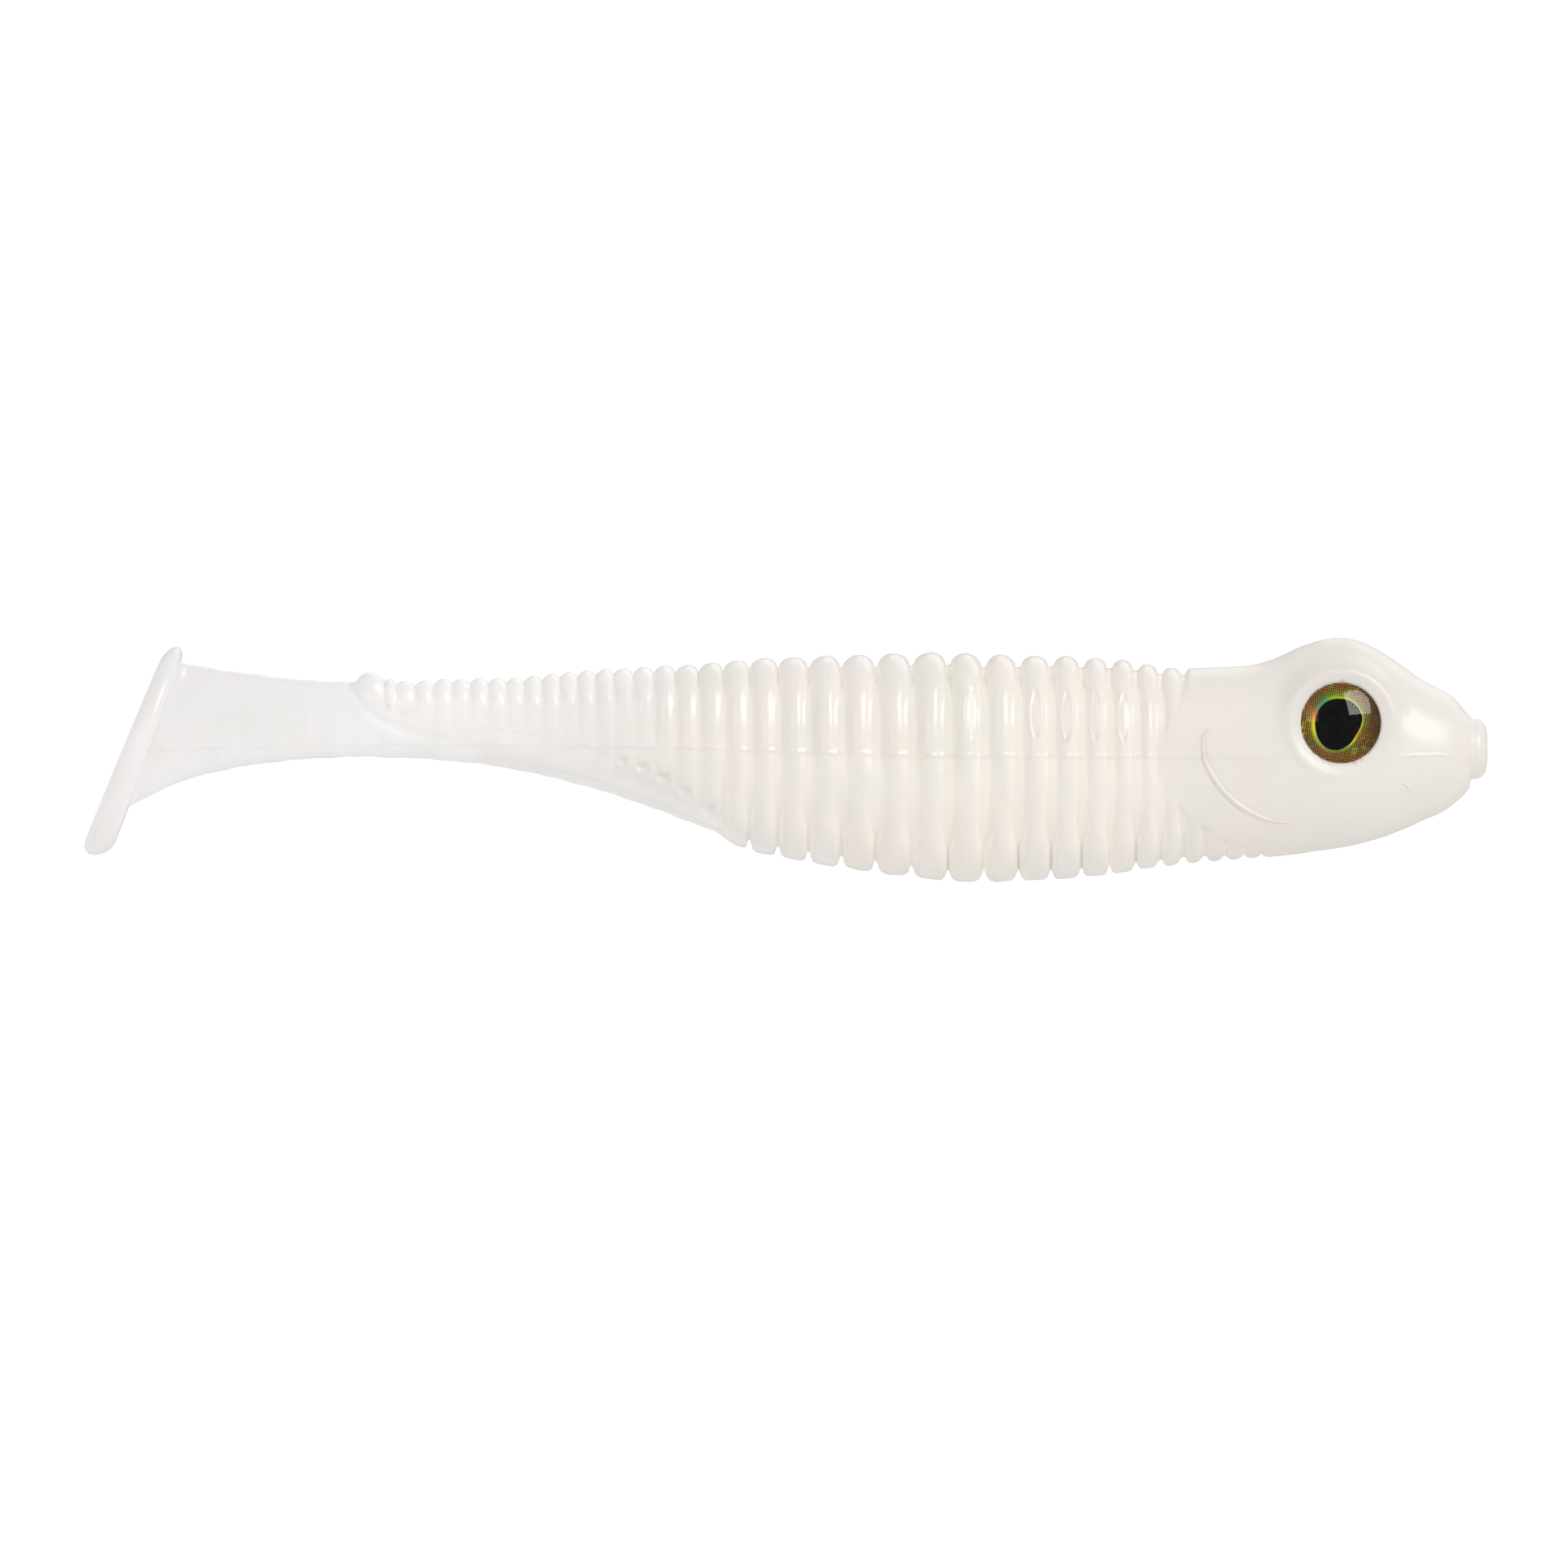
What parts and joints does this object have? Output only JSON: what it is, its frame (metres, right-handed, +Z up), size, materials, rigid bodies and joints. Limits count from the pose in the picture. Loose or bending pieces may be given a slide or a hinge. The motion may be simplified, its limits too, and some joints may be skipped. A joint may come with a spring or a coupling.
{
  "type": "swimbait",
  "caption": "Soft plastic paddle-tail fishing lure shaped like a small fish, with a ribbed flexible body, thin tail stalk, tilted paddle and stick-on domed eyes.",
  "frame": {"origin": "centre of the small flat face on the tip of the nose", "axes": "+X out of the nose, along the bait; +Z up, towards its back; +Y its left side"},
  "size_m": [0.1042, 0.0134, 0.018],
  "materials": {
    "body_plastic": "gloss",
    "tail_plastic": "gloss",
    "eye_foam": "matte",
    "eye_foil": "polished",
    "eye_ink": "satin",
    "eye_resin": "polished"
  },
  "bodies": {
    "head": {"head": "body_plastic", "left_eye_adhesive_pad": "eye_foam", "left_eye_foil": "eye_foil", "left_eye_pupil": "eye_ink", "left_eye_dome": "eye_resin", "right_eye_adhesive_pad": "eye_foam", "right_eye_foil": "eye_foil", "right_eye_pupil": "eye_ink", "right_eye_dome": "eye_resin", "neck_web": "body_plastic"},
    "collar_section": {"collar_section": "body_plastic", "shoulder_web": "body_plastic"},
    "chest_section": {"chest_section": "body_plastic", "front_body_web": "body_plastic"},
    "belly_section": {"belly_section": "body_plastic", "rear_body_web": "body_plastic"},
    "vent_section": {"vent_section": "body_plastic", "hip_web": "body_plastic"},
    "hip_section": {"hip_section": "body_plastic", "tail_root_web": "body_plastic"},
    "tail_root_section": {"tail_root_section": "body_plastic", "tail_middle_web": "body_plastic"},
    "tail_middle_section": {"tail_middle_section": "body_plastic", "tail_end_web": "body_plastic"},
    "tail_end_section": {"tail_end_section": "body_plastic", "stalk_web": "tail_plastic"},
    "stalk_front": {"stalk_front": "tail_plastic", "stalk_twist_web": "tail_plastic"},
    "stalk_rear": {"stalk_rear": "tail_plastic", "paddle_web": "tail_plastic"},
    "paddle": {"paddle": "tail_plastic"}
  },
  "joints": [
    {"name": "neck_bend", "type": "hinge", "parent": "head", "child": "collar_section", "pos_m": [-0.02415, 0, -0.0006], "axis": [0, 0, 1], "range_deg": [-8, 8], "stiffness_Nm_per_rad": 0.025, "deforming": ["neck_web"]},
    {"name": "shoulder_lift", "type": "hinge", "parent": "collar_section", "child": "chest_section", "pos_m": [-0.03223, 0, -0.001], "axis": [0, 1, 0], "range_deg": [-6, 6], "stiffness_Nm_per_rad": 0.045, "deforming": ["shoulder_web"]},
    {"name": "front_body_bend", "type": "hinge", "parent": "chest_section", "child": "belly_section", "pos_m": [-0.03984, 0, -0.001], "axis": [0, 0, 1], "range_deg": [-10, 10], "stiffness_Nm_per_rad": 0.028, "deforming": ["front_body_web"]},
    {"name": "rear_body_bend", "type": "hinge", "parent": "belly_section", "child": "vent_section", "pos_m": [-0.04773, 0, -0.0006], "axis": [0, 0, 1], "range_deg": [-10, 10], "stiffness_Nm_per_rad": 0.025, "deforming": ["rear_body_web"]},
    {"name": "hip_lift", "type": "hinge", "parent": "vent_section", "child": "hip_section", "pos_m": [-0.05451, 0, -0.0002], "axis": [0, 1, 0], "range_deg": [-6, 6], "stiffness_Nm_per_rad": 0.025, "deforming": ["hip_web"]},
    {"name": "tail_root_bend", "type": "hinge", "parent": "hip_section", "child": "tail_root_section", "pos_m": [-0.05999, 0, 0.0005], "axis": [0, 0, 1], "range_deg": [-12, 12], "stiffness_Nm_per_rad": 0.0069, "deforming": ["tail_root_web"]},
    {"name": "tail_middle_bend", "type": "hinge", "parent": "tail_root_section", "child": "tail_middle_section", "pos_m": [-0.06722, 0, 0.0012], "axis": [0, 0, 1], "range_deg": [-14, 14], "stiffness_Nm_per_rad": 0.0019, "deforming": ["tail_middle_web"]},
    {"name": "tail_end_bend", "type": "hinge", "parent": "tail_middle_section", "child": "tail_end_section", "pos_m": [-0.07516, 0, 0.0018], "axis": [0, 0, 1], "range_deg": [-16, 16], "stiffness_Nm_per_rad": 0.00056, "deforming": ["tail_end_web"]},
    {"name": "stalk_bend", "type": "hinge", "parent": "tail_end_section", "child": "stalk_front", "pos_m": [-0.0854, 0, 0.0022], "axis": [0, 0, 1], "range_deg": [-25, 25], "stiffness_Nm_per_rad": 0.00022, "deforming": ["stalk_web"]},
    {"name": "stalk_twist", "type": "hinge", "parent": "stalk_front", "child": "stalk_rear", "pos_m": [-0.0896, 0, 0.0022], "axis": [1, 0, 0], "range_deg": [-20, 20], "stiffness_Nm_per_rad": 0.00027, "deforming": ["stalk_twist_web"]},
    {"name": "paddle_kick", "type": "hinge", "parent": "stalk_rear", "child": "paddle", "pos_m": [-0.0938, 0, 0.0021], "axis": [0, 0, 1], "range_deg": [-30, 30], "stiffness_Nm_per_rad": 0.00022, "deforming": ["paddle_web"]}
  ]
}
